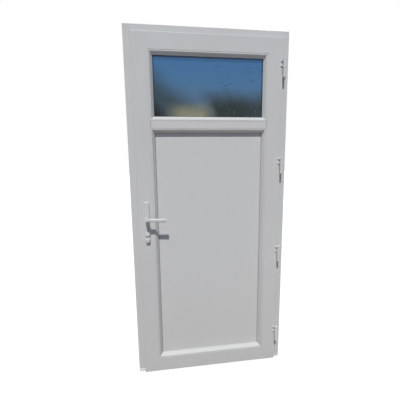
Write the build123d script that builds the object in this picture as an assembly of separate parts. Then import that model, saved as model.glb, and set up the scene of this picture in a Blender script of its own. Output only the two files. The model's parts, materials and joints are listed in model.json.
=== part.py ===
"""A white uPVC side door: mitred frame on a low threshold, hinged leaf with a glazed light over a panel.

Millimetres. +X runs to the hinge side, +Y to the outdoor side, +Z up. The origin is on the
underside of the threshold, in the middle of the doorway and of the frame's depth. The leaf opens
towards -Y, the indoor side, on four barrel hinges.
"""

from build123d import *
import os

# Frame
DOOR_WIDTH = 900.0
DOOR_HEIGHT = 2000.0
FRAME_DEPTH = 70.0
FRAME_FACE = 46.0  # outer edge to the rebate wall
FRAME_STOP = 24.0  # how far the stop leg reaches past the rebate wall
STOP_THICKNESS = 13.0
STOP_SLOPE = 8.0
FRAME_EDGE_RADIUS = 3.0
WALL_GROOVE_DEPTH = 2.5
WALL_GROOVE_WIDTH = 6.0
WALL_GROOVE_EDGE = 4.0
WELD_WIDTH = 1.6
WELD_DEPTH = 0.5
THRESHOLD_HEIGHT = 20.0
THRESHOLD_LIP = 9.0
THRESHOLD_SET_BACK = 2.0
THRESHOLD_BEVEL = 8.0
THRESHOLD_GROOVE = 3.0
THRESHOLD_GROOVES = 4

# Leaf
SASH_REVEAL = 37.0  # strip of frame that shows beside the leaf
SASH_TOP_REVEAL = 38.0
SASH_FACE = 87.0
SASH_DEPTH = 70.0
SASH_PROUD = 18.0  # leaf face in front of the frame face
SASH_FLANGE = 21.0
SASH_EDGE_RADIUS = 2.5
SEAL_GAP = 5.0  # between leaf and frame, where the seals sit
FLOOR_GAP = 4.0
SASH_INNER_RADIUS = 1.5
RAIL_DROP = 506.0  # top of the frame to the middle of the mid rail
RAIL_FACE = 42.0
RAIL_JOINT = 2.0  # fine groove where the mid rail meets the stiles
HARDWARE_GROOVE_WIDTH = 16.6
HARDWARE_GROOVE_DEPTH = 3.0
HARDWARE_GROOVE_SHIFT = 1.0  # from the middle of the leaf's depth towards indoors
DRAIN_SLOT_LENGTH = 28.0
DRAIN_SLOT_WIDTH = 5.0
DRAIN_SLOT_DEPTH = 4.0
DRAIN_SLOT_RISE = 46.0
DRAIN_SLOT_END = 190.0

# Glazing
BEAD_SIGHT = 22.0
BEAD_NOSE = 7.5
BEAD_SET_BACK = 1.0
BEAD_LAND = 4.0
BEAD_RADIUS = 5.0
BEAD_EDGE = 0.8
UPSTAND_SLOPE = 6.0
UPSTAND_THICKNESS = 16.0
UNIT_THICKNESS = 24.0
PANE_THICKNESS = 4.0
GASKET_THICKNESS = 3.0
GASKET_COVER = 10.0
GASKET_LIP = 1.5  # gasket that shows past the bead, round the glass only
GLAZING_GAP = 5.0
SPACER_SIGHT = 11.0
SPACER_INSET = 4.0

# Seals
SEAL_WIDTH = 6.0
SEAL_INSET = 2.0
SEAL_CLEARANCE = 0.4
SEAL_TIP_RADIUS = 2.0

# Hinges
HINGE_COUNT = 4
HINGE_TOP_DROP = 197.0  # top of the frame to the middle of the top hinge
HINGE_BOTTOM_RISE = 190.0
HINGE_HEIGHT = 100.0
HINGE_RADIUS = 8.5
HINGE_SIDE = 3.0  # pin axis beyond the leaf's edge
HINGE_STAND_OFF = 15.0  # pin axis in front of the leaf's face
HINGE_SPLIT = 0.5
HINGE_RIM = 1.5
BUSH_LIP = 0.8
BUSH_HEIGHT = 2.5
PIN_RADIUS = 4.0
PIN_CLEARANCE = 0.05
PIN_REACH = 40.0
PIN_END_GAP = 2.0
SPIGOT_RADIUS = 4.5
SPIGOT_START = 3.0  # its slanted end, inside the rosette
SPIGOT_SIDE = 9.0  # middle of a spigot's rosette, in from the leaf's edge
SPIGOT_INSET = 12.0  # from both ends of the leaf's knuckle
ROSETTE_RADIUS = 6.0
ROSETTE_THICKNESS = 4.0
FOOT_WIDTH = 17.0
FOOT_THICKNESS = 4.0
FRAME_ARM_CLEAR = 5.0

# Handle and lock
BACKSET = 28.0
LEVER_HEIGHT = 979.0
CYLINDER_DROP = 92.0
PLATE_WIDTH = 30.0
PLATE_UPPER_REACH = 93.0
PLATE_LOWER_REACH = 142.0
PLATE_THICKNESS = 9.0
PLATE_RADIUS = 12.0
PLATE_EDGE = 3.5
COLLAR_RADIUS = 13.0
COLLAR_HEIGHT = 8.0
BOSS_EDGE = 2.0
CAP_DROP = 38.0
CAP_RADIUS = 12.0
NECK_RADIUS = 11.0
NECK_CLEARANCE = 0.3
NECK_INSET = 5.0
NECK_PROUD = 1.5  # past the front of the bar
NECK_EDGE = 2.5
LEVER_STAND_OFF = 57.0
LEVER_LENGTH = 105.0
LEVER_DROP = 5.0  # the bar's end below its axis
LEVER_DEPTH = 14.0
LEVER_TALL = 19.0
LEVER_CORNER = 6.0
LEVER_END_EDGE = 2.0
SPINDLE_SIDE = 8.0
SPINDLE_SOCKET = 20.0
SPINDLE_CLEARANCE = 0.1
SPINDLE_HOLE_RADIUS = 11.0
CYLINDER_RADIUS = 8.5
CYLINDER_WEB = 10.0
CYLINDER_TALL = 33.0
CYLINDER_SEAT = 5.0  # into the plates
PLUG_PROUD = 1.0  # past the collar
CYLINDER_CLEARANCE = 0.5
KEYWAY_WIDTH = 2.4
KEYWAY_TALL = 9.0
KEYWAY_DEPTH = 12.0
PLUG_RADIUS = 6.5
PLUG_CLEARANCE = 0.2
LOCK_STRIP_WIDTH = 16.0
LOCK_STRIP_THICKNESS = 2.5
LOCK_STRIP_END = 110.0  # left clear at both ends of the stile
BOLT_WIDTH = 12.0
BOLT_PROUD = 2.5
LATCH_TALL = 30.0
DEADBOLT_TALL = 36.0
LATCH_BEVEL = 2.0
CAM_RADIUS = 4.5
KEEP_THICKNESS = 2.0
KEEP_WIDTH = 20.0
KEEP_TALL = 210.0
SIDE_KEEP_TALL = 70.0
SIDE_KEEP_END = 330.0  # from the ends of the leaf
KEEP_HOLE_GAP = 2.0

# Fixings through the jambs
FIXING_RADIUS = 4.0
FIXING_END = 200.0
FIXING_COUNT = 4
FIXING_STAGGER = 30.0  # how much higher the lock jamb's holes are

# Planes and lines that follow from the sizes above
HALF_WIDTH = DOOR_WIDTH / 2
FRAME_IN = -FRAME_DEPTH / 2
FRAME_OUT = FRAME_DEPTH / 2
STOP_FACE = FRAME_OUT - STOP_THICKNESS
FRAME_WIDTH = FRAME_FACE + FRAME_STOP
REBATE_X = HALF_WIDTH - FRAME_FACE
SASH_HALF = HALF_WIDTH - SASH_REVEAL
SASH_TOP = DOOR_HEIGHT - SASH_TOP_REVEAL
SASH_BOTTOM = FLOOR_GAP
SASH_IN = FRAME_IN - SASH_PROUD
SASH_OUT = SASH_IN + SASH_DEPTH
FLANGE_BACK = FRAME_IN - SEAL_GAP
SASH_BODY_X = SASH_HALF - SASH_FLANGE
SASH_WIDTH = SASH_FACE + BEAD_SIGHT
UPSTAND_IN = SASH_OUT - UPSTAND_THICKNESS
UNIT_OUT = UPSTAND_IN - GASKET_THICKNESS
UNIT_IN = UNIT_OUT - UNIT_THICKNESS
BEAD_BACK = UNIT_IN - GASKET_THICKNESS
GROOVE_Y = (SASH_IN + SASH_OUT) / 2 - HARDWARE_GROOVE_SHIFT
RAIL_CENTRE = DOOR_HEIGHT - RAIL_DROP
HINGE_PITCH = (DOOR_HEIGHT - HINGE_TOP_DROP - HINGE_BOTTOM_RISE) / (HINGE_COUNT - 1)
LIGHT_HALF = SASH_HALF - SASH_FACE
RAIL_TOP = RAIL_CENTRE + RAIL_FACE / 2
RAIL_BOTTOM = RAIL_CENTRE - RAIL_FACE / 2
UPPER_LIGHT = (LIGHT_HALF, RAIL_TOP, SASH_TOP - SASH_FACE)
LOWER_LIGHT = (LIGHT_HALF, SASH_BOTTOM + SASH_FACE, RAIL_BOTTOM)
SASH_BOX = (SASH_HALF, SASH_BOTTOM, SASH_TOP)
FRAME_BOX = (HALF_WIDTH, THRESHOLD_HEIGHT, DOOR_HEIGHT)
HINGE_X = SASH_HALF + HINGE_SIDE
HINGE_Y = SASH_IN - HINGE_STAND_OFF
HANDLE_X = -(SASH_BODY_X - BACKSET)
CYLINDER_HEIGHT = LEVER_HEIGHT - CYLINDER_DROP
SIDE_KEEPS = (SASH_BOTTOM + SIDE_KEEP_END, SASH_TOP - SIDE_KEEP_END)
SIDES = ("lock_side", "hinge_side", "top", "bottom")


def section(points):
    """A closed flat section from (distance inwards, depth) points."""
    return make_face(Polyline(*points, close=True))


def side_plane(box, side):
    """Plane whose local x runs inwards from one side of a box and whose local y is depth."""
    half, bottom, top = box
    planes = {
        "lock_side": ((-half, 0, bottom), (1, 0, 0), (0, 0, 1), top - bottom),
        "hinge_side": ((half, 0, top), (-1, 0, 0), (0, 0, -1), top - bottom),
        "top": ((-half, 0, top), (0, 0, -1), (1, 0, 0), 2 * half),
        "bottom": ((half, 0, bottom), (0, 0, 1), (-1, 0, 0), 2 * half),
    }
    origin, inwards, along, length = planes[side]
    return Plane(origin=origin, x_dir=inwards, z_dir=along), length


def mitred(profile, box, side, square_bottom=False):
    """Extrudes a section along one side of a box and cuts its ends at 45 degrees, or square at the floor."""
    plane, length = side_plane(box, side)
    bar = extrude(plane * profile, length, dir=plane.z_dir)
    reach = profile.bounding_box().max.X
    start = 0.0 if square_bottom and side == "lock_side" else reach
    end = 0.0 if square_bottom and side == "hinge_side" else reach
    outline = Polyline((0, 0), (reach, start), (reach, length - end), (0, length), close=True)
    cutter = Plane(origin=plane.origin, x_dir=plane.x_dir, z_dir=-plane.y_dir)
    return bar & extrude(cutter * make_face(outline), FRAME_DEPTH * 3, both=True)


def ring(profile, box, sides=SIDES, square_bottom=False):
    """Mitred lengths of one section joined into a single loop or arch."""
    return Part() + [mitred(profile, box, side, square_bottom) for side in sides]


def frame_section():
    """Frame extrusion: face, rebate wall, sloped stop leg and grooves on the wall side."""
    outline = section([
        (0, FRAME_IN), (FRAME_FACE, FRAME_IN), (FRAME_FACE, STOP_FACE), (FRAME_WIDTH, STOP_FACE),
        (FRAME_WIDTH, FRAME_OUT - STOP_SLOPE), (FRAME_WIDTH - STOP_SLOPE, FRAME_OUT), (0, FRAME_OUT),
    ])
    outline = fillet(outline.vertices().group_by(Axis.Y)[0], FRAME_EDGE_RADIUS)
    for low in (FRAME_IN + WALL_GROOVE_EDGE, FRAME_OUT - WALL_GROOVE_EDGE - WALL_GROOVE_WIDTH):
        outline -= rectangle((-WALL_GROOVE_DEPTH, low), (WALL_GROOVE_DEPTH, low + WALL_GROOVE_WIDTH))
    return outline


def sash_section():
    """Leaf extrusion: overlapping flange, hardware groove, glazing rebate and fixed outer upstand."""
    groove = HARDWARE_GROOVE_WIDTH / 2
    floor = SASH_FLANGE + HARDWARE_GROOVE_DEPTH
    outline = section([
        (0, SASH_IN), (SASH_FACE, SASH_IN), (SASH_FACE, UPSTAND_IN), (SASH_WIDTH, UPSTAND_IN),
        (SASH_WIDTH, SASH_OUT - UPSTAND_SLOPE), (SASH_WIDTH - UPSTAND_SLOPE, SASH_OUT),
        (SASH_FLANGE, SASH_OUT), (SASH_FLANGE, GROOVE_Y + groove), (floor, GROOVE_Y + groove),
        (floor, GROOVE_Y - groove), (SASH_FLANGE, GROOVE_Y - groove), (SASH_FLANGE, FLANGE_BACK),
        (0, FLANGE_BACK),
    ])
    outer = outline.vertices().group_by(Axis.Y)[0].sort_by(Axis.X)[0]
    outline = fillet(outer, SASH_EDGE_RADIUS)
    inner = outline.vertices().group_by(Axis.Y)[0].sort_by(Axis.X)[-1]
    return fillet(inner, SASH_INNER_RADIUS)


def bead_section():
    """Glazing bead: a narrow face beside the leaf, then a bevel that falls to the glass."""
    front = SASH_IN + BEAD_SET_BACK
    outline = section([
        (0, front), (BEAD_NOSE, front), (BEAD_SIGHT, BEAD_BACK - BEAD_LAND), (BEAD_SIGHT, BEAD_BACK),
        (0, BEAD_BACK),
    ])
    nose = outline.vertices().group_by(Axis.Y)[0].sort_by(Axis.X)[-1]
    outline = fillet(nose, BEAD_RADIUS)
    edge = outline.vertices().group_by(Axis.Y)[0].sort_by(Axis.X)[0]
    return chamfer(edge, BEAD_EDGE)


def seal_section(base, tip):
    """Seal strip with a rounded tip, from its seat to just short of what it closes against."""
    low, start, end = base
    outline = rectangle((low, min(start, end)), (low + SEAL_WIDTH, max(start, end)))
    return fillet(outline.vertices().filter_by(lambda v: abs(v.Y - tip) < SEAL_TIP_RADIUS), SEAL_TIP_RADIUS)


def weld_lines(box, face, start, end, corners):
    """Fine grooves along the mitres on one face, where the weld is cleaned off."""
    half, bottom, top = box
    length = (end - start) * 2**0.5
    middle = (start + end) / 2
    places = {
        "lock_top": (-half + middle, top - middle, 45),
        "hinge_top": (half - middle, top - middle, -45),
        "lock_bottom": (-half + middle, bottom + middle, -45),
        "hinge_bottom": (half - middle, bottom + middle, 45),
    }
    lines = []
    for corner in corners:
        x, z, turn = places[corner]
        lines.append(Pos(x, face, z) * Rot(0, turn, 0) * Box(length, 2 * WELD_DEPTH, WELD_WIDTH))
    return Part() + lines


def rectangle(low, high):
    """A rectangular section between two (distance inwards, depth) corners."""
    return section([low, (high[0], low[1]), high, (low[0], high[1])])


def block(x, y, z):
    """A box between pairs of coordinates."""
    return Pos((x[0] + x[1]) / 2, (y[0] + y[1]) / 2, (z[0] + z[1]) / 2) * Box(x[1] - x[0], y[1] - y[0], z[1] - z[0])


def rod(x, z, radius, y_low, y_high):
    """A cylinder along the depth."""
    return Pos(x, (y_low + y_high) / 2, z) * Rot(90, 0, 0) * Cylinder(radius, y_high - y_low)


def euro_profile(extra, y_low, y_high):
    """The keyhole-shaped section of a profile cylinder, run along the depth."""
    radius = CYLINDER_RADIUS + extra
    foot_radius = CYLINDER_WEB / 2 + extra
    foot = CYLINDER_HEIGHT + CYLINDER_RADIUS - CYLINDER_TALL + CYLINDER_WEB / 2
    web = block(
        (HANDLE_X - foot_radius, HANDLE_X + foot_radius), (y_low, y_high), (foot, CYLINDER_HEIGHT)
    )
    return rod(HANDLE_X, CYLINDER_HEIGHT, radius, y_low, y_high) + web + rod(HANDLE_X, foot, foot_radius, y_low, y_high)


def jamb_fixings(lift):
    """Holes for the screws that hold a jamb to the wall."""
    pitch = (DOOR_HEIGHT - 2 * FIXING_END) / (FIXING_COUNT - 1)
    heights = [FIXING_END + lift + index * pitch for index in range(FIXING_COUNT)]
    return Part() + [
        Pos(0, GROOVE_Y, height) * Rot(0, 90, 0) * Cylinder(FIXING_RADIUS, 2 * DOOR_WIDTH) for height in heights
    ]


def frame_parts():
    """Head and two jambs, welded at the top corners, on the threshold."""
    profile = frame_section()
    sides = ("lock_side", "hinge_side", "top")
    names = {"lock_side": "frame_lock_jamb", "hinge_side": "frame_hinge_jamb", "top": "frame_head"}
    parts = {names[side]: mitred(profile, FRAME_BOX, side, square_bottom=True) for side in sides}
    parts["frame_hinge_jamb"] -= jamb_fixings(0)
    parts["frame_lock_jamb"] -= jamb_fixings(FIXING_STAGGER)
    top_corners = ("lock_top", "hinge_top")
    welds = weld_lines(FRAME_BOX, FRAME_IN, FRAME_EDGE_RADIUS, FRAME_FACE, top_corners)
    welds += weld_lines(FRAME_BOX, FRAME_OUT, 0, FRAME_WIDTH - STOP_SLOPE, top_corners)
    for name in names.values():
        parts[name] -= welds
    parts["threshold"] = threshold()
    seal_low = FRAME_WIDTH - STOP_SLOPE - SEAL_WIDTH
    tip = SASH_OUT + SEAL_CLEARANCE
    parts["frame_seal"] = ring(seal_section((seal_low, STOP_FACE, tip), tip), FRAME_BOX, sides, square_bottom=True)
    return parts


def threshold():
    """Low aluminium threshold with a bevelled front and grooves in its tread."""
    front = FRAME_IN + THRESHOLD_SET_BACK
    outline = section([
        (0, front), (THRESHOLD_LIP, front), (THRESHOLD_HEIGHT, front + THRESHOLD_BEVEL),
        (THRESHOLD_HEIGHT, FRAME_OUT), (0, FRAME_OUT),
    ])
    plane, length = side_plane((HALF_WIDTH, 0, DOOR_HEIGHT), "bottom")
    bar = extrude(plane * outline, length, dir=plane.z_dir)
    tread_front = front + THRESHOLD_BEVEL
    pitch = (FRAME_OUT - tread_front) / (THRESHOLD_GROOVES + 1)
    clear = HALF_WIDTH - FRAME_WIDTH
    grooves = [
        Pos(0, tread_front + (index + 1) * pitch, THRESHOLD_HEIGHT) * Box(2 * clear, THRESHOLD_GROOVE, THRESHOLD_GROOVE)
        for index in range(THRESHOLD_GROOVES)
    ]
    return bar - (Part() + grooves)


def leaf_parts():
    """Four welded lengths, the mid rail, both infills with their beads, gaskets and the flange seal."""
    profile = sash_section()
    names = {"lock_side": "sash_lock_stile", "hinge_side": "sash_hinge_stile", "top": "sash_top_rail",
             "bottom": "sash_bottom_rail"}
    parts = {names[side]: mitred(profile, SASH_BOX, side) for side in SIDES}
    parts["sash_mid_rail"] = mid_rail() - parts["sash_lock_stile"] - parts["sash_hinge_stile"]
    corners = ("lock_top", "hinge_top", "lock_bottom", "hinge_bottom")
    welds = weld_lines(SASH_BOX, SASH_IN, SASH_EDGE_RADIUS, SASH_FACE, corners)
    welds += weld_lines(SASH_BOX, SASH_OUT, SASH_FLANGE, SASH_WIDTH - UPSTAND_SLOPE, corners)
    for name in names.values():
        parts[name] -= welds
    parts["sash_lock_stile"] -= lock_holes()
    parts["sash_bottom_rail"] -= drain_slots()
    tip = FRAME_IN - SEAL_CLEARANCE
    parts["sash_seal"] = ring(seal_section((SEAL_INSET, FLANGE_BACK, tip), tip), SASH_BOX)
    for place, box, lip in (("upper", UPPER_LIGHT, GASKET_LIP), ("lower", LOWER_LIGHT, 0.0)):
        for side in SIDES:
            parts[f"{place}_bead_{side}"] = mitred(bead_section(), box, side)
        low, high = BEAD_SIGHT - GASKET_COVER, BEAD_SIGHT + lip
        parts[f"{place}_inner_gasket"] = ring(rectangle((low, BEAD_BACK), (high, UNIT_IN)), box)
        parts[f"{place}_outer_gasket"] = ring(rectangle((low, UNIT_OUT), (high, UPSTAND_IN)), box)
    parts["glass_inner_pane"] = infill(UPPER_LIGHT, UNIT_IN, UNIT_IN + PANE_THICKNESS)
    parts["glass_outer_pane"] = infill(UPPER_LIGHT, UNIT_OUT - PANE_THICKNESS, UNIT_OUT)
    low = GLAZING_GAP + SPACER_INSET
    spacer = rectangle((low, UNIT_IN + PANE_THICKNESS), (low + SPACER_SIGHT, UNIT_OUT - PANE_THICKNESS))
    parts["glass_spacer"] = ring(spacer, UPPER_LIGHT)
    parts["lower_panel"] = infill(LOWER_LIGHT, UNIT_IN, UNIT_OUT)
    return parts


def infill(box, y_low, y_high):
    """A sheet that fills a light, with the glazing gap all round."""
    half, bottom, top = box
    edge = half - GLAZING_GAP
    return block((-edge, edge), (y_low, y_high), (bottom + GLAZING_GAP, top - GLAZING_GAP))


def mid_rail():
    """Rail between the lights. Its T section is cut over the upstands of the stiles afterwards."""
    upstand = RAIL_FACE / 2 + BEAD_SIGHT
    half_section = [
        (0, SASH_IN), (RAIL_FACE / 2, SASH_IN), (RAIL_FACE / 2, UPSTAND_IN), (upstand, UPSTAND_IN),
        (upstand, SASH_OUT - UPSTAND_SLOPE), (upstand - UPSTAND_SLOPE, SASH_OUT), (0, SASH_OUT),
    ]
    outline = section(half_section)
    edge = outline.vertices().group_by(Axis.Y)[0].sort_by(Axis.X)[-1]
    outline = fillet(edge, SASH_INNER_RADIUS)
    plane = Plane(origin=(LIGHT_HALF, 0, RAIL_CENTRE), x_dir=(0, 0, 1), z_dir=(-1, 0, 0))
    upper = extrude(plane * outline, 2 * LIGHT_HALF, dir=(-1, 0, 0))
    rail = upper + mirror(upper, about=Plane(origin=(0, 0, RAIL_CENTRE), z_dir=(0, 0, 1)))
    joint_depth = (SASH_IN - RAIL_JOINT, SASH_IN + RAIL_JOINT)
    joint = block((LIGHT_HALF - RAIL_JOINT, HALF_WIDTH), joint_depth, (RAIL_BOTTOM, RAIL_TOP))
    return rail - joint - mirror(joint, about=Plane.YZ)


def drain_slots():
    """Two drain slots in the outdoor face of the bottom rail."""
    place = Plane(origin=(0, SASH_OUT, SASH_BOTTOM + DRAIN_SLOT_RISE), x_dir=(1, 0, 0), z_dir=(0, -1, 0))
    reach = SASH_HALF - DRAIN_SLOT_END
    slot = extrude(place * SlotOverall(DRAIN_SLOT_LENGTH, DRAIN_SLOT_WIDTH), DRAIN_SLOT_DEPTH)
    return Pos(-reach, 0, 0) * slot + Pos(reach, 0, 0) * slot


def lock_holes():
    """Ways through the lock stile for the spindle and the cylinder."""
    ends = (SASH_IN - SASH_DEPTH, SASH_OUT + SASH_DEPTH)
    return rod(HANDLE_X, LEVER_HEIGHT, SPINDLE_HOLE_RADIUS, *ends) + euro_profile(CYLINDER_CLEARANCE, *ends)


def hinge_parts():
    """Barrel hinges: the lower knuckle and its pin on the frame, the upper knuckle on the leaf."""
    parts = {}
    for index in range(HINGE_COUNT):
        middle = DOOR_HEIGHT - HINGE_TOP_DROP - index * HINGE_PITCH
        parts[f"hinge_{index + 1}_frame_knuckle"] = frame_knuckle(middle)
        parts[f"hinge_{index + 1}_leaf_knuckle"] = leaf_knuckle(middle)
    return parts


def barrel(low, high, rim):
    """Barrel of one half of a hinge. Its free rim is eased and its meeting end has a bush lip."""
    tube = Pos(HINGE_X, HINGE_Y, (low + high) / 2) * Cylinder(HINGE_RADIUS, high - low)
    tube = chamfer(tube.edges().group_by(Axis.Z)[rim], HINGE_RIM)
    bush_middle = low + BUSH_HEIGHT / 2 if rim else high - BUSH_HEIGHT / 2
    return tube + Pos(HINGE_X, HINGE_Y, bush_middle) * Cylinder(HINGE_RADIUS + BUSH_LIP, BUSH_HEIGHT)


def spigot(height):
    """Slanted spigot from the barrel's axis to a rosette on the face of the leaf."""
    foot = Vector(SASH_HALF - SPIGOT_SIDE, SASH_IN, height)
    along = Vector(HINGE_X, HINGE_Y, height) - foot
    start = along * (SPIGOT_START / HINGE_STAND_OFF)
    post = extrude(Plane(origin=foot + start, z_dir=along) * Circle(SPIGOT_RADIUS), along.length - start.length)
    return post + rod(foot.X, height, ROSETTE_RADIUS, SASH_IN - ROSETTE_THICKNESS, SASH_IN)


def leaf_knuckle(middle):
    """Upper half of a hinge, held to the face of the leaf by two spigots."""
    low = middle + HINGE_SPLIT / 2
    high = middle + HINGE_HEIGHT / 2
    half = barrel(low, high, -1) + spigot(low + SPIGOT_INSET) + spigot(high - SPIGOT_INSET)
    bore_high = low + PIN_REACH + PIN_END_GAP
    return half - Pos(HINGE_X, HINGE_Y, (low + bore_high) / 2) * Cylinder(PIN_RADIUS + PIN_CLEARANCE, bore_high - low)


def frame_knuckle(middle):
    """Lower half of a hinge, on a foot on the face of the frame, with the pin it carries."""
    low = middle - HINGE_HEIGHT / 2
    high = middle - HINGE_SPLIT / 2
    near = SASH_HALF + FRAME_ARM_CLEAR
    foot_front = FRAME_IN - FOOT_THICKNESS
    outline = section([
        (near, FRAME_IN), (near + FOOT_WIDTH, FRAME_IN), (near + FOOT_WIDTH, foot_front),
        (near + HINGE_RADIUS, foot_front), (HINGE_X + HINGE_RADIUS, HINGE_Y), (HINGE_X, HINGE_Y),
        (near, HINGE_Y + HINGE_RADIUS),
    ])
    arm = extrude(Pos(0, 0, low + HINGE_RIM) * outline, high - low - HINGE_RIM, dir=(0, 0, 1))
    arm = fillet(arm.edges().filter_by(Axis.Y).group_by(Axis.X)[-1], FOOT_THICKNESS)
    pin = Pos(HINGE_X, HINGE_Y, high + PIN_REACH / 2) * Cylinder(PIN_RADIUS, PIN_REACH + HINGE_SPLIT)
    return barrel(low, high, 0) + arm + pin


def handle_plate(face, outwards):
    """Long plate with the lever bore, a raised cylinder collar and a screw cap. Outwards is -1 indoors."""
    low, high = LEVER_HEIGHT - PLATE_LOWER_REACH, LEVER_HEIGHT + PLATE_UPPER_REACH
    plane = Plane(origin=(HANDLE_X, face, (low + high) / 2), x_dir=(1, 0, 0), z_dir=(0, outwards, 0))
    plate = extrude(plane * RectangleRounded(PLATE_WIDTH, high - low, PLATE_RADIUS), PLATE_THICKNESS)
    front = plate.faces().sort_by(Axis.Y)[0 if outwards < 0 else -1]
    plate = chamfer(front.edges(), PLATE_EDGE)
    top = face + outwards * PLATE_THICKNESS
    for drop, radius in ((CYLINDER_DROP, COLLAR_RADIUS), (CYLINDER_DROP + CAP_DROP, CAP_RADIUS)):
        ends = sorted((face, top + outwards * COLLAR_HEIGHT))
        boss = rod(HANDLE_X, LEVER_HEIGHT - drop, radius, *ends)
        rim = boss.faces().sort_by(Axis.Y)[0 if outwards < 0 else -1]
        plate += chamfer(rim.edges(), BOSS_EDGE)
    ends = (face - FRAME_DEPTH, face + FRAME_DEPTH)
    plate -= rod(HANDLE_X, LEVER_HEIGHT, NECK_RADIUS + NECK_CLEARANCE, *ends)
    plate -= rod(HANDLE_X, CYLINDER_HEIGHT, PLUG_RADIUS + PLUG_CLEARANCE, *ends)
    pocket = CYLINDER_SEAT + CYLINDER_CLEARANCE
    return plate - euro_profile(CYLINDER_CLEARANCE, face - pocket, face + pocket)


def lever(face, outwards):
    """Lever: a round neck that turns in the plate's bore, and a bar that drops a little towards the hinges."""
    start = face + outwards * (PLATE_THICKNESS - NECK_INSET)
    middle = face + outwards * LEVER_STAND_OFF
    neck_end = middle + outwards * (LEVER_DEPTH / 2 + NECK_PROUD)
    neck = rod(HANDLE_X, LEVER_HEIGHT, NECK_RADIUS, *sorted((start, neck_end)))
    front = neck.faces().sort_by(Axis.Y)[0 if outwards < 0 else -1]
    neck = chamfer(front.edges(), NECK_EDGE)
    along = Vector(LEVER_LENGTH, 0, -LEVER_DROP)
    plane = Plane(origin=(HANDLE_X, middle, LEVER_HEIGHT), x_dir=(0, 1, 0), z_dir=along)
    bar = extrude(plane * RectangleRounded(LEVER_DEPTH, LEVER_TALL, LEVER_CORNER), along.length)
    bar = chamfer(bar.faces().sort_by(Axis.X)[-1].edges(), LEVER_END_EDGE)
    socket_end = start + outwards * SPINDLE_SOCKET
    return neck + bar - square_bar(SPINDLE_SIDE + 2 * SPINDLE_CLEARANCE, *sorted((start, socket_end)))


def square_bar(side, y_low, y_high):
    """A square bar along the depth, on the lever's axis."""
    return Pos(HANDLE_X, (y_low + y_high) / 2, LEVER_HEIGHT) * Box(side, y_high - y_low, side)


def handle_parts():
    """Both plates and levers, the spindle that joins the levers, and the cylinder."""
    reach = PLATE_THICKNESS - NECK_INSET + SPINDLE_SOCKET
    plug_reach = PLATE_THICKNESS + COLLAR_HEIGHT + PLUG_PROUD
    ends = (SASH_IN - plug_reach, SASH_OUT + plug_reach)
    cylinder = euro_profile(0, SASH_IN - CYLINDER_SEAT, SASH_OUT + CYLINDER_SEAT)
    cylinder += rod(HANDLE_X, CYLINDER_HEIGHT, PLUG_RADIUS, *ends)
    keyway_x = (HANDLE_X - KEYWAY_WIDTH / 2, HANDLE_X + KEYWAY_WIDTH / 2)
    keyway_z = (CYLINDER_HEIGHT - KEYWAY_TALL / 2, CYLINDER_HEIGHT + KEYWAY_TALL / 2)
    for end in ends:
        cylinder -= block(keyway_x, (end - KEYWAY_DEPTH, end + KEYWAY_DEPTH), keyway_z)
    return {
        "inside_plate": handle_plate(SASH_IN, -1),
        "outside_plate": handle_plate(SASH_OUT, 1),
        "inside_lever": lever(SASH_IN, -1),
        "outside_lever": lever(SASH_OUT, 1),
        "spindle": square_bar(SPINDLE_SIDE, SASH_IN - reach, SASH_OUT + reach),
        "lock_cylinder": cylinder,
    }


def lock_parts():
    """Lock strip in the leaf's groove with its bolts drawn back, and the keeps on the jamb."""
    seat = -(SASH_BODY_X - HARDWARE_GROOVE_DEPTH)
    strip_face = seat - LOCK_STRIP_THICKNESS
    depth = (GROOVE_Y - LOCK_STRIP_WIDTH / 2, GROOVE_Y + LOCK_STRIP_WIDTH / 2)
    clear = SASH_FLANGE + LOCK_STRIP_END
    strip = block((strip_face, seat), depth, (SASH_BOTTOM + clear, SASH_TOP - clear))
    bolt_depth = (GROOVE_Y - BOLT_WIDTH / 2, GROOVE_Y + BOLT_WIDTH / 2)
    bolts = Part()
    keep_depth = (GROOVE_Y - KEEP_WIDTH / 2, GROOVE_Y + KEEP_WIDTH / 2)
    keep_x = (-REBATE_X, -REBATE_X + KEEP_THICKNESS)
    main_middle = LEVER_HEIGHT - CYLINDER_DROP / 2
    keeps = block(keep_x, keep_depth, (main_middle - KEEP_TALL / 2, main_middle + KEEP_TALL / 2))
    for height, tall in ((LEVER_HEIGHT, LATCH_TALL), (CYLINDER_HEIGHT, DEADBOLT_TALL)):
        bolts += block((strip_face - BOLT_PROUD, strip_face), bolt_depth, (height - tall / 2, height + tall / 2))
        hole = tall / 2 + KEEP_HOLE_GAP
        keeps -= block(keep_x, bolt_depth, (height - hole, height + hole))
    latch_nose = bolts.edges().filter_by(Axis.Z).sort_by(Axis.Z)[-4:].sort_by(Axis.X)[:2].sort_by(Axis.Y)[0]
    bolts = chamfer(latch_nose, LATCH_BEVEL)
    for middle in SIDE_KEEPS:
        keeps += block(keep_x, keep_depth, (middle - SIDE_KEEP_TALL / 2, middle + SIDE_KEEP_TALL / 2))
        bolts += Pos(strip_face - BOLT_PROUD / 2, GROOVE_Y, middle) * Rot(0, 90, 0) * Cylinder(CAM_RADIUS, BOLT_PROUD)
    return {"lock_strip": strip, "lock_bolts": bolts, "lock_keeps": keeps}


os.makedirs("parts", exist_ok=True)
for name, shape in {**frame_parts(), **leaf_parts(), **hinge_parts(), **handle_parts(), **lock_parts()}.items():
    export_step(shape, f"parts/{name}.step")
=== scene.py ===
"""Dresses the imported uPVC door: finishes, screw heads, a pale floor, lights and the camera."""

import json

import bpy
from mathutils import Matrix, Vector


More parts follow.
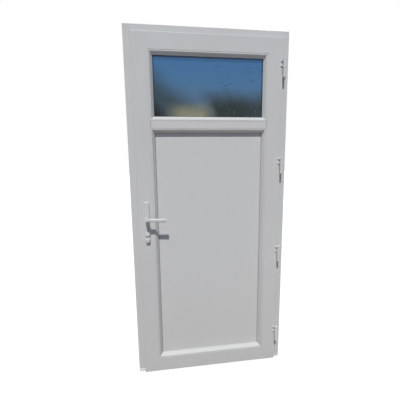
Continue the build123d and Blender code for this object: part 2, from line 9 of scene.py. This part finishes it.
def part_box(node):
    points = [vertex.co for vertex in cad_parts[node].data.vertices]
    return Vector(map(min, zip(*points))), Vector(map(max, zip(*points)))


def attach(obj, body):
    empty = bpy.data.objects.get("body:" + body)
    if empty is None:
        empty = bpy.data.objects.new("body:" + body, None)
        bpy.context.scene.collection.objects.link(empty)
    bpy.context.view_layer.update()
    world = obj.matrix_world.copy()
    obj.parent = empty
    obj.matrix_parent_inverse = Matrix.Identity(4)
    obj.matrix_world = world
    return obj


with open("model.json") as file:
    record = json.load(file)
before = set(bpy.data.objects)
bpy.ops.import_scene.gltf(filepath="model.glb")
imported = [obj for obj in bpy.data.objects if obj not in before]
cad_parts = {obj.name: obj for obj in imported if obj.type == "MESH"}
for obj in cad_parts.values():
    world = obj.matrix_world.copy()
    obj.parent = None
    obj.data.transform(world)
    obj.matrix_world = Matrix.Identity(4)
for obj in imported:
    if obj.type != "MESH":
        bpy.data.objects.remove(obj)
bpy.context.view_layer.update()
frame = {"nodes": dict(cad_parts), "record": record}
nodes = frame["nodes"]

# Camera, from a perspective fit of the door's corners; pixels of a 400 by 400 picture
PICTURE_SIZE = 400.0
FOCAL_PIXELS = 302.0
CENTRE_PIXELS = (211.3, 198.2)
SENSOR_MM = 36.0
CAMERA_PLACE = Vector((-0.2549, -1.7519, 1.3789))
CAMERA_FORWARD = Vector((0.14853, 0.97404, -0.17082))
CAMERA_UP = Vector((0.0317, 0.16796, 0.98528))

# Light: each lamp travels along its direction
SUN_TRAVEL = Vector((0.18, 1.0, -1.44))
SUN_ANGLE = 0.025
SUN_STRENGTH = 3.06
SUN_COLOUR = (1.0, 0.985, 0.945)
FILL_STRENGTH = 0.15
FILL_COLOUR = (0.34, 0.71, 1.45, 1.0)
BACK_TRAVEL = Vector((-0.35, -1.0, -0.75))
BACK_ANGLE = 0.6
BACK_STRENGTH = 1.5
LAMP_DISTANCE = 3.0

# Floor
FLOOR_HALF = 14.0
FLOOR_COLOUR = (0.243, 0.212, 0.176, 1.0)
FLOOR_SEEN_COLOUR = (0.46, 0.46, 0.46, 1.0)
FLOOR_SEEN_GLOW = (0.585, 0.57, 0.555, 1.0)
BLACK = (0.0, 0.0, 0.0, 1.0)
WHITE = (1.0, 1.0, 1.0, 1.0)

# Painted reflection and view that the patterned glass shows, blurred
SKY_HIGH = (0.056, 0.172, 0.365, 1.0)
SKY_LOW = (0.08, 0.19, 0.345, 1.0)
HAZE_GREY = (0.118, 0.154, 0.176, 1.0)
TICK_GREY = (0.11, 0.13, 0.12, 1.0)
BANK_BLUE = (0.032, 0.058, 0.077, 1.0)
BANK_DARK = (0.002, 0.004, 0.008, 1.0)
GROUND_KHAKI = (0.265, 0.262, 0.178, 1.0)
HEDGE_GREEN = (0.015, 0.024, 0.019, 1.0)
GLASS_GLOW_SHARE = 0.6  # share of the painted view that the pane gives off as glow, standing in for light through it, rather than as base colour off its face
GLASS_GLOW_STRENGTH = 0.85
RIM_PAINTED_SHADE = (0.012, 0.024, 0.045, 1.0)
RIM_REACH = (0.004, 0.011)  # where the painted dark rim, the beads' shadow and the gasket's reflection, fades out, from the beads' edges
RIM_SIDES = 0.6
RIM_SHADE = 0.8

# The thin joints round the lower panel and the mid rail: dirt and painted shade in the gaps
JOINT_DIRT_AND_SHADE_GREY = (0.2, 0.2, 0.21, 1.0)
JOINT_REACH = (0.001, 0.005)
JOINT_SIDES = 0.8
JOINT_SHADE = 0.9
JOINT_EDGE = 0.001  # half the fade between a piece's indoor and outdoor halves
RAIL_END_REACH = (0.002, 0.006)
RAIL_TOP_REACH = (0.001, 0.004)
RAIL_JOINT_SHADE = 0.45

# How the fine drawing lines of each metal are stretched, per metre
TREAD_LINES = (6.0, 900.0, 900.0)
STRIP_LINES = (700.0, 700.0, 8.0)
CYLINDER_LINES = (300.0, 20.0, 300.0)

# Sockets of a Mix node that mixes colours
MIX_FACTOR, MIX_FIRST, MIX_SECOND, MIX_RESULT = 0, 6, 7, 2

# Screw heads, in metres
SCREW_SIZES = {
    "Head Radius": 0.0036, "Rim Radius": 0.0029, "Head Height": 0.0009, "Recess Width": 0.0011,
    "Recess Length": 0.0042, "Recess Depth": 0.0006,
}
SCREW_SIDES = 20
SCREW_SUNK = 0.0003
STRIP_SCREW_END = 0.035
STRIP_SCREW_CLEAR = 0.061  # above the latch and below the deadbolt
STRIP_SCREW_COUNT = 4
CYLINDER_DROP = 0.092
KEEP_SCREW_END = 0.010
MAIN_KEEP_HALF = 0.105
SIDE_KEEP_HALF = 0.035
QUARTER_TURN = 1.5707963


class Wire:
    """A node socket that takes plain arithmetic; each sign adds a Math node."""

    def __init__(self, graph, socket):
        self.graph = graph
        self.socket = socket

    def maths(self, operation, *values):
        sockets = dict(enumerate((self, *values)))
        return self.graph.node("ShaderNodeMath", {"operation": operation}, sockets)

    def __add__(self, other):
        return self.maths("ADD", other)

    def __mul__(self, other):
        return self.maths("MULTIPLY", other)

    def __sub__(self, other):
        return self.maths("SUBTRACT", other)

    def __truediv__(self, other):
        return self.maths("DIVIDE", other)

    def __rsub__(self, other):
        return self * -1.0 + other

    __radd__ = __add__
    __rmul__ = __mul__

    def clamp(self):
        return self.graph.node("ShaderNodeClamp", {}, {"Value": self})

    def smooth(self, low, high):
        sockets = {"Value": self, "From Min": low, "From Max": high}
        return self.graph.node("ShaderNodeMapRange", {"interpolation_type": "SMOOTHSTEP"}, sockets)


class Graph:
    """A node tree, filled one node at a time with settings first and then values or wires."""

    def __init__(self, tree):
        self.tree = tree

    def node(self, kind, settings, sockets, output=0):
        node = self.tree.nodes.new(kind)
        for key, value in settings.items():
            setattr(node, key, value)
        for key, value in sockets.items():
            self.feed(node.inputs[key], value)
        return Wire(self, node.outputs[output])

    def feed(self, socket, value):
        if isinstance(value, Wire):
            self.tree.links.new(value.socket, socket)
        else:
            socket.default_value = value


class Finish(Graph):
    """A material made from nodes, on the object's own coordinates."""

    def __init__(self, name):
        self.material = bpy.data.materials.new(name)
        self.material.use_nodes = True
        super().__init__(self.material.node_tree)
        self.shader = self.tree.nodes["Principled BSDF"]
        self.place = self.node("ShaderNodeTexCoord", {}, {}, "Object")

    def set(self, **values):
        for key, value in values.items():
            self.feed(self.shader.inputs[key.replace("_", " ")], value)

    def stretched(self, scale):
        return self.node("ShaderNodeMapping", {}, {"Vector": self.place, "Scale": scale})

    def noise(self, scale, detail=3.0, roughness=0.5, stretch=None):
        vector = self.stretched(stretch) if stretch else self.place
        sockets = {"Vector": vector, "Scale": scale, "Detail": detail, "Roughness": roughness}
        return self.node("ShaderNodeTexNoise", {}, sockets)

    def axes(self):
        split = self.node("ShaderNodeSeparateXYZ", {}, {"Vector": self.place})
        outputs = split.socket.node.outputs
        return tuple(Wire(self, outputs[axis]) for axis in ("X", "Y", "Z"))

    def mix(self, amount, first, second):
        sockets = {MIX_FACTOR: amount, MIX_FIRST: first, MIX_SECOND: second}
        settings = {"data_type": "RGBA", "blend_type": "MIX"}
        return self.node("ShaderNodeMix", settings, sockets, MIX_RESULT)

    def bump(self, height, strength, distance):
        sockets = {"Height": height, "Strength": strength, "Distance": distance}
        self.set(Normal=self.node("ShaderNodeBump", {}, sockets))


def bead_line(finish, light, reach, sides):
    """One along the top and a share of one along the sides where a light's infill meets its beads."""
    x, _, z = finish.axes()
    left = (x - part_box(light + "_bead_lock_side")[1].x).smooth(*reach)
    right = (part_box(light + "_bead_hinge_side")[0].x - x).smooth(*reach)
    top = (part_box(light + "_bead_top")[0].z - z).smooth(*reach)
    return 1.0 - top + (2.0 - left - right) * sides


def indoors(finish, node):
    """One on the indoor half of a piece's depth."""
    low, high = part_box(node)
    middle = (low.y + high.y) / 2
    _, y, _ = finish.axes()
    return 1.0 - y.smooth(middle - JOINT_EDGE, middle + JOINT_EDGE)


def panel_joint_dirt_and_shade(finish):
    """Thin grey joint around the lower panel, on its indoor face: dirt and painted shade in the gap."""
    line = bead_line(finish, "lower", JOINT_REACH, JOINT_SIDES)
    return (line * indoors(finish, "lower_panel") * JOINT_SHADE).clamp()


def rail_joint_dirt_and_shade(finish):
    """Thin grey joints at the mid rail's ends and under the bead above it, on its indoor face: dirt and
    painted shade in the joints.
    """
    low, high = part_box("sash_mid_rail")
    x, _, z = finish.axes()
    ends = 2.0 - (x - low.x).smooth(*RAIL_END_REACH) - (high.x - x).smooth(*RAIL_END_REACH)
    above = 1.0 - (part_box("upper_bead_bottom")[0].z - z).smooth(*RAIL_TOP_REACH)
    return ((ends + above) * indoors(finish, "sash_mid_rail") * RAIL_JOINT_SHADE).clamp()


def extruded_white(name, colour, shaded, gloss, weather, joint=None):
    """White uPVC: satin skin with faint clouding, rain film, splash low down and a fine pebble."""
    finish = Finish(name)
    cloud = finish.noise(2.2, 3.0).smooth(0.3, 0.75)
    streaks = finish.noise(9.0, 3.0, 0.6, (5.0, 5.0, 0.35)).smooth(0.52, 0.8)
    _, _, z = finish.axes()
    # Darker towards the bottom, by height alone
    low = 1.0 - z.smooth(0.0, 0.9)
    splash = (1.0 - z.smooth(0.0, 0.22)) * finish.noise(26.0, 4.0, 0.65).smooth(0.4, 0.75)
    dull = ((cloud * 0.4 + streaks * 0.2 + splash * 0.3) * weather + low * 0.5).clamp()
    skin = finish.mix(dull, colour, shaded)
    # Dirt and painted shade along the joints, where a joint is given
    if joint:
        skin = finish.mix(joint(finish), skin, JOINT_DIRT_AND_SHADE_GREY)
    finish.set(Base_Color=skin)
    pebble = finish.noise(520.0, 2.0)
    draw = finish.noise(60.0, 2.0)
    finish.set(Roughness=gloss + dull * 0.12 + pebble * 0.05)
    finish.shader.inputs["Specular IOR Level"].default_value = 0.35
    finish.bump(pebble * 0.7 + draw * 0.3, 0.05, 0.002)
    return finish.material


def coated_metal(name, colour, shaded):
    """White baked coating on cast handles and hinges: satin, with soft orange peel."""
    finish = Finish(name)
    cloud = finish.noise(30.0, 3.0).smooth(0.4, 0.75)
    finish.set(Base_Color=finish.mix(cloud * 0.5, colour, shaded))
    peel = finish.noise(340.0, 2.0)
    finish.set(Roughness=0.4 + cloud * 0.1, Coat_Weight=0.06 + cloud * 0.06)
    finish.shader.inputs["Coat Roughness"].default_value = 0.3
    finish.shader.inputs["Specular IOR Level"].default_value = 0.4
    finish.bump(peel, 0.06, 0.001)
    return finish.material


def seal_rubber(name, colour, dusty):
    """Rubber seal with a little pale dust."""
    finish = Finish(name)
    dust = finish.noise(90.0, 4.0, 0.6).smooth(0.45, 0.85)
    finish.set(Base_Color=finish.mix(dust * 0.5, colour, dusty))
    finish.set(Roughness=0.55 + dust * 0.25)
    finish.bump(finish.noise(900.0, 2.0), 0.08, 0.0005)
    return finish.material


def drawn_metal(name, colour, worn, roughness, stretch):
    """Rolled or drawn metal with fine lines along its length."""
    finish = Finish(name)
    lines = finish.noise(1.0, 3.0, 0.6, stretch)
    patches = finish.noise(14.0, 4.0, 0.6).smooth(0.4, 0.75)
    finish.set(Base_Color=finish.mix((lines * 0.5 + patches * 0.4).clamp(), colour, worn))
    finish.set(Roughness=roughness + lines * 0.14 + patches * 0.1)
    finish.shader.inputs["Metallic"].default_value = 1.0
    finish.bump(lines, 0.12, 0.0006)
    return finish.material


def obscure_glass_painted_view():
    """Patterned glass with a painted reflection and view, partly glowing: blue above, a dim bank on the
    left, pale ground and a dark hedge low down.
    """
    # Places in the blur are shares of the pane's width and height
    finish = Finish("glass_obscure_painted_view")
    low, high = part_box("glass_inner_pane")
    x, _, z = finish.axes()
    rise = (z - low.z) / (high.z - low.z)
    side = (x - low.x) / (high.x - low.x)
    drift = finish.noise(7.0, 3.0, 0.55) * 0.2 - 0.1
    height = rise + drift
    left_bank = (0.79 - side * 1.35 - height).smooth(-0.18, 0.34)
    left_foot = (0.34 - side * 1.8 - height).smooth(-0.1, 0.2)
    hedge = (side + height * 0.25 + drift).smooth(0.46, 0.62) * (1.0 - height.smooth(0.17, 0.56))
    ground_across = side.smooth(0.08, 0.3) * (1.0 - side.smooth(0.42, 0.66))
    ground = ground_across * (1.0 - height.smooth(0.08, 0.32))
    haze = 1.0 - height.smooth(0.2, 0.6)
    sky = finish.mix(rise.smooth(0.2, 1.0), SKY_LOW, SKY_HIGH)
    hazed = finish.mix(haze * 0.42, sky, HAZE_GREY)
    banked = finish.mix((left_bank * 0.93).clamp(), hazed, BANK_BLUE)
    footed = finish.mix(left_foot, banked, BANK_DARK)
    grounded = finish.mix((ground * 0.95).clamp(), footed, GROUND_KHAKI)
    hedge_depth = 0.95 - side.smooth(0.7, 1.0) * 0.1
    hedged = finish.mix((hedge * hedge_depth).clamp(), grounded, HEDGE_GREEN)
    dashed_part = side.smooth(0.42, 0.6) * rise.smooth(0.28, 0.45) * (1.0 - rise.smooth(0.78, 0.9))
    dashes = finish.noise(1.0, 1.0, 0.5, (24.0, 24.0, 170.0)).smooth(0.64, 0.72) * dashed_part
    ticked_part = 1.0 - rise.smooth(0.15, 0.35)
    ticks = finish.noise(1.0, 1.0, 0.5, (110.0, 110.0, 34.0)).smooth(0.6, 0.68) * ticked_part
    dashed = finish.mix(dashes * 0.3, hedged, BANK_DARK)
    ticked = finish.mix(ticks * 0.4, dashed, TICK_GREY)
    # Painted shadow and reflection: a dark rim on the glass along its beads
    rim = bead_line(finish, "upper", RIM_REACH, RIM_SIDES)
    rimmed = finish.mix((rim * RIM_SHADE).clamp(), ticked, RIM_PAINTED_SHADE)
    ripple = finish.noise(1.0, 3.0, 0.6, (45.0, 45.0, 120.0))
    # The painted view is split between base colour and a glow from the pane, which is no lamp
    finish.set(Base_Color=finish.mix(GLASS_GLOW_SHARE, rimmed, BLACK), Roughness=0.14 + ripple * 0.12)
    finish.set(Emission_Color=finish.mix(GLASS_GLOW_SHARE, BLACK, rimmed))
    finish.shader.inputs["Emission Strength"].default_value = GLASS_GLOW_STRENGTH
    finish.shader.inputs["Specular IOR Level"].default_value = 0.25
    finish.bump(ripple * 0.6 + dashes * 0.4, 0.12, 0.0015)
    return finish.material


def spacer_bar():
    """Matt aluminium spacer with rows of fine breather holes."""
    finish = Finish("spacer_bar_aluminium")
    cells = finish.node("ShaderNodeTexVoronoi", {}, {"Vector": finish.place, "Scale": 260.0})
    holes = 1.0 - cells.smooth(0.12, 0.2)
    finish.set(Base_Color=finish.mix(holes, (0.4, 0.41, 0.43, 1.0), (0.06, 0.06, 0.065, 1.0)))
    finish.set(Roughness=0.42 + holes * 0.3)
    finish.shader.inputs["Metallic"].default_value = 0.85
    return finish.material


PROFILE_WHITE = extruded_white(
    "profile_white", (0.64, 0.64, 0.637, 1.0), (0.572, 0.566, 0.546, 1.0), gloss=0.36, weather=0.6
)
RAIL_WHITE = extruded_white(
    "mid_rail_white", (0.67, 0.664, 0.652, 1.0), (0.6, 0.588, 0.56, 1.0),
    gloss=0.36, weather=0.6, joint=rail_joint_dirt_and_shade,
)
BEAD_WHITE = extruded_white(
    "bead_white", (0.635, 0.634, 0.628, 1.0), (0.53, 0.525, 0.505, 1.0), gloss=0.48, weather=0.5
)
PANEL_WHITE = extruded_white(
    "panel_white", (0.648, 0.648, 0.642, 1.0), (0.59, 0.583, 0.562, 1.0),
    gloss=0.42, weather=0.15, joint=panel_joint_dirt_and_shade,
)
HINGE_WHITE = coated_metal(
    "hinge_white", (0.69, 0.69, 0.685, 1.0), (0.62, 0.62, 0.615, 1.0)
)
HANDLE_WHITE = coated_metal(
    "handle_white", (0.635, 0.64, 0.628, 1.0), (0.585, 0.585, 0.57, 1.0)
)
SEAL_BLACK = seal_rubber(
    "seal_black_rubber", (0.012, 0.012, 0.014, 1.0), (0.05, 0.05, 0.05, 1.0)
)
SEAL_WHITE = seal_rubber(
    "seal_white_rubber", (0.5, 0.505, 0.51, 1.0), (0.42, 0.42, 0.41, 1.0)
)
GLASS_PAINTED_VIEW = obscure_glass_painted_view()
SPACER_BAR = spacer_bar()
TREAD_METAL = drawn_metal(
    "tread_aluminium", (0.42, 0.42, 0.43, 1.0), (0.34, 0.34, 0.345, 1.0),
    roughness=0.38, stretch=TREAD_LINES,
)
LOCK_METAL = drawn_metal(
    "lock_zinc", (0.5, 0.51, 0.53, 1.0), (0.36, 0.37, 0.38, 1.0),
    roughness=0.3, stretch=STRIP_LINES,
)
KEY_METAL = drawn_metal(
    "cylinder_nickel", (0.68, 0.68, 0.67, 1.0), (0.58, 0.58, 0.57, 1.0),
    roughness=0.3, stretch=CYLINDER_LINES,
)

FINISHES = {
    "upvc_white": PROFILE_WHITE,
    "bead_white": BEAD_WHITE,
    "panel_white": PANEL_WHITE,
    "hinge_white": HINGE_WHITE,
    "handle_white": HANDLE_WHITE,
    "seal_black": SEAL_BLACK,
    "seal_white": SEAL_WHITE,
    "glass": GLASS_PAINTED_VIEW,
    "spacer_aluminium": SPACER_BAR,
    "threshold_aluminium": TREAD_METAL,
    "lock_steel": LOCK_METAL,
    "cylinder_nickel": KEY_METAL,
}


NODE_FINISHES = {"sash_mid_rail": RAIL_WHITE}


def dress_nodes():
    """Gives every CAD node its own finish, or else the finish of its material slot."""
    for entry in frame["record"]["subparts"]:
        finish = NODE_FINISHES.get(entry["node"], FINISHES[entry["material_slot"]])
        mesh = nodes[entry["node"]].data
        for index in range(len(mesh.materials)):
            mesh.materials[index] = finish


def screw_tree():
    """Geometry Nodes: a cross-recessed head on every point, turned to face one way."""
    tree = bpy.data.node_groups.new("screw_heads", "GeometryNodeTree")
    sockets = [
        ("Places", "NodeSocketGeometry"),
        ("Facing", "NodeSocketVector"),
        ("Metal", "NodeSocketMaterial"),
    ]
    for name, kind in sockets + [(size, "NodeSocketFloat") for size in SCREW_SIZES]:
        tree.interface.new_socket(name, in_out="INPUT", socket_type=kind)
    tree.interface.new_socket("Heads", in_out="OUTPUT", socket_type="NodeSocketGeometry")
    graph = Graph(tree)
    given = tree.nodes.new("NodeGroupInput").outputs
    size = {name: Wire(graph, given[name]) for name in SCREW_SIZES}
    cone = graph.node("GeometryNodeMeshCone", {}, {
        "Vertices": SCREW_SIDES, "Radius Top": size["Rim Radius"], "Radius Bottom": size["Head Radius"],
        "Depth": size["Head Height"],
    })
    top = graph.node("ShaderNodeCombineXYZ", {}, {"Z": size["Head Height"]})
    deep = size["Recess Depth"] * 2.0
    slots = []
    for wide, long in (("X", "Y"), ("Y", "X")):
        sides = {wide: size["Recess Width"], long: size["Recess Length"], "Z": deep}
        corner = graph.node("ShaderNodeCombineXYZ", {}, sides)
        cube = graph.node("GeometryNodeMeshCube", {}, {"Size": corner})
        slots.append(graph.node("GeometryNodeTransform", {}, {"Geometry": cube, "Translation": top}))
    head = cone
    for slot in slots:
        meshes = {"Mesh 1": head, "Mesh 2": slot}
        head = graph.node("GeometryNodeMeshBoolean", {"operation": "DIFFERENCE"}, meshes)
    turn = graph.node("FunctionNodeEulerToRotation", {}, {"Euler": Wire(graph, given["Facing"])})
    heads = graph.node("GeometryNodeInstanceOnPoints", {}, {
        "Points": Wire(graph, given["Places"]), "Instance": head, "Rotation": turn,
    })
    solid = graph.node("GeometryNodeRealizeInstances", {}, {"Geometry": heads})
    metal = graph.node("GeometryNodeSetMaterial", {}, {
        "Geometry": solid, "Material": Wire(graph, given["Metal"]),
    })
    tree.links.new(metal.socket, tree.nodes.new("NodeGroupOutput").inputs["Heads"])
    return tree


def screws(name, tree, body, places, facing):
    """One mesh of screw heads at the given places, riding on a body."""
    points = bpy.data.meshes.new(name)
    points.from_pydata(places, [], [])
    piece = bpy.data.objects.new(name, points)
    bpy.context.scene.collection.objects.link(piece)
    modifier = piece.modifiers.new("screw_heads", "NODES")
    modifier.node_group = tree
    values = {"Facing": (0.0, facing * QUARTER_TURN, 0.0), "Metal": LOCK_METAL, **SCREW_SIZES}
    for item in tree.interface.items_tree:
        if item.name in values:
            modifier[item.identifier] = values[item.name]
    drawn = piece.evaluated_get(bpy.context.evaluated_depsgraph_get())
    mesh = bpy.data.meshes.new_from_object(drawn)
    piece.modifiers.remove(modifier)
    piece.data = mesh
    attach(piece, body)


def lock_screws():
    """Screws down the lock strip on the leaf's edge and in the keeps on the jamb."""
    tree = screw_tree()
    low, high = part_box("spindle")
    latch = (low.z + high.z) / 2
    deadbolt = latch - CYLINDER_DROP

    low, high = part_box("lock_strip")
    middle = (low.y + high.y) / 2
    runs = (
        (low.z + STRIP_SCREW_END, deadbolt - STRIP_SCREW_CLEAR),
        (latch + STRIP_SCREW_CLEAR, high.z - STRIP_SCREW_END),
    )
    heights = []
    for start, end in runs:
        pitch = (end - start) / (STRIP_SCREW_COUNT - 1)
        heights += [start + pitch * index for index in range(STRIP_SCREW_COUNT)]
    places = [(low.x + SCREW_SUNK, middle, height) for height in heights]
    screws("lock_strip_screws", tree, "leaf", places, -1)

    low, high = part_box("lock_keeps")
    middle = (low.y + high.y) / 2
    main = (latch + deadbolt) / 2
    keeps = (
        (low.z + SIDE_KEEP_HALF, SIDE_KEEP_HALF),
        (main, MAIN_KEEP_HALF),
        (high.z - SIDE_KEEP_HALF, SIDE_KEEP_HALF),
    )
    heights = [centre + end * (half - KEEP_SCREW_END) for centre, half in keeps for end in (-1, 1)]
    places = [(high.x - SCREW_SUNK, middle, height) for height in heights]
    screws("keep_screws", tree, "frame", places, 1)


def background_rays(tree):
    """One for the rays that show the background: from the camera, in gloss and through glass."""
    path = tree.nodes.new("ShaderNodeLightPath")
    seen = path.outputs["Is Camera Ray"]
    for ray in ("Is Glossy Ray", "Is Transmission Ray"):
        either = tree.nodes.new("ShaderNodeMath")
        either.operation = "MAXIMUM"
        tree.links.new(seen, either.inputs[0])
        tree.links.new(path.outputs[ray], either.inputs[1])
        seen = either.outputs[0]
    return seen


def studio():
    """Pale floor, a key light from the front, a weaker one behind, some fill and a white surround."""
    scene = bpy.context.scene
    scene.view_settings.view_transform = "Standard"
    mesh = bpy.data.meshes.new("floor")
    corners = [(-1, -1), (1, -1), (1, 1), (-1, 1)]
    mesh.from_pydata([(FLOOR_HALF * x, FLOOR_HALF * y, 0.0) for x, y in corners], [], [(0, 1, 2, 3)])
    floor = bpy.data.objects.new("floor", mesh)
    scene.collection.objects.link(floor)
    paint = Finish("floor_pale")
    seen = Wire(paint, background_rays(paint.tree))
    paint.set(Base_Color=paint.mix(seen, FLOOR_COLOUR, FLOOR_SEEN_COLOUR))
    paint.set(Emission_Color=paint.mix(seen, BLACK, FLOOR_SEEN_GLOW))
    paint.set(Emission_Strength=1.0, Roughness=0.9)
    mesh.materials.append(paint.material)

    lamps = (
        ("key", SUN_TRAVEL, SUN_ANGLE, SUN_STRENGTH),
        ("back", BACK_TRAVEL, BACK_ANGLE, BACK_STRENGTH),
    )
    for name, travel, angle, strength in lamps:
        lamp = bpy.data.lights.new(name, "SUN")
        lamp.energy = strength
        lamp.angle = angle
        lamp.color = SUN_COLOUR
        light = bpy.data.objects.new(name, lamp)
        light.rotation_euler = travel.to_track_quat("-Z", "Y").to_euler()
        light.location = -travel * LAMP_DISTANCE
        scene.collection.objects.link(light)

    world = bpy.data.worlds.new("surround")
    scene.world = world
    world.use_nodes = True
    tree = world.node_tree
    tree.nodes.clear()
    fill = tree.nodes.new("ShaderNodeBackground")
    fill.inputs["Color"].default_value = FILL_COLOUR
    fill.inputs["Strength"].default_value = FILL_STRENGTH
    white = tree.nodes.new("ShaderNodeBackground")
    choice = tree.nodes.new("ShaderNodeMixShader")
    white.inputs["Color"].default_value = WHITE
    output = tree.nodes.new("ShaderNodeOutputWorld")
    tree.links.new(background_rays(tree), choice.inputs[0])
    tree.links.new(fill.outputs[0], choice.inputs[1])
    tree.links.new(white.outputs[0], choice.inputs[2])
    tree.links.new(choice.outputs[0], output.inputs["Surface"])


def photograph_camera():
    """Camera at the photograph's viewing angle."""
    data = bpy.data.cameras.new("camera")
    data.sensor_width = SENSOR_MM
    data.lens = FOCAL_PIXELS / PICTURE_SIZE * SENSOR_MM
    data.shift_x = 0.5 - CENTRE_PIXELS[0] / PICTURE_SIZE
    data.shift_y = CENTRE_PIXELS[1] / PICTURE_SIZE - 0.5
    camera = bpy.data.objects.new("camera", data)
    back = -CAMERA_FORWARD.normalized()
    right = CAMERA_UP.cross(back).normalized()
    turn = Matrix((right, back.cross(right), back)).transposed()
    camera.matrix_world = Matrix.Translation(CAMERA_PLACE) @ turn.to_4x4()
    bpy.context.scene.collection.objects.link(camera)
    bpy.context.scene.camera = camera


dress_nodes()
lock_screws()
studio()
photograph_camera()
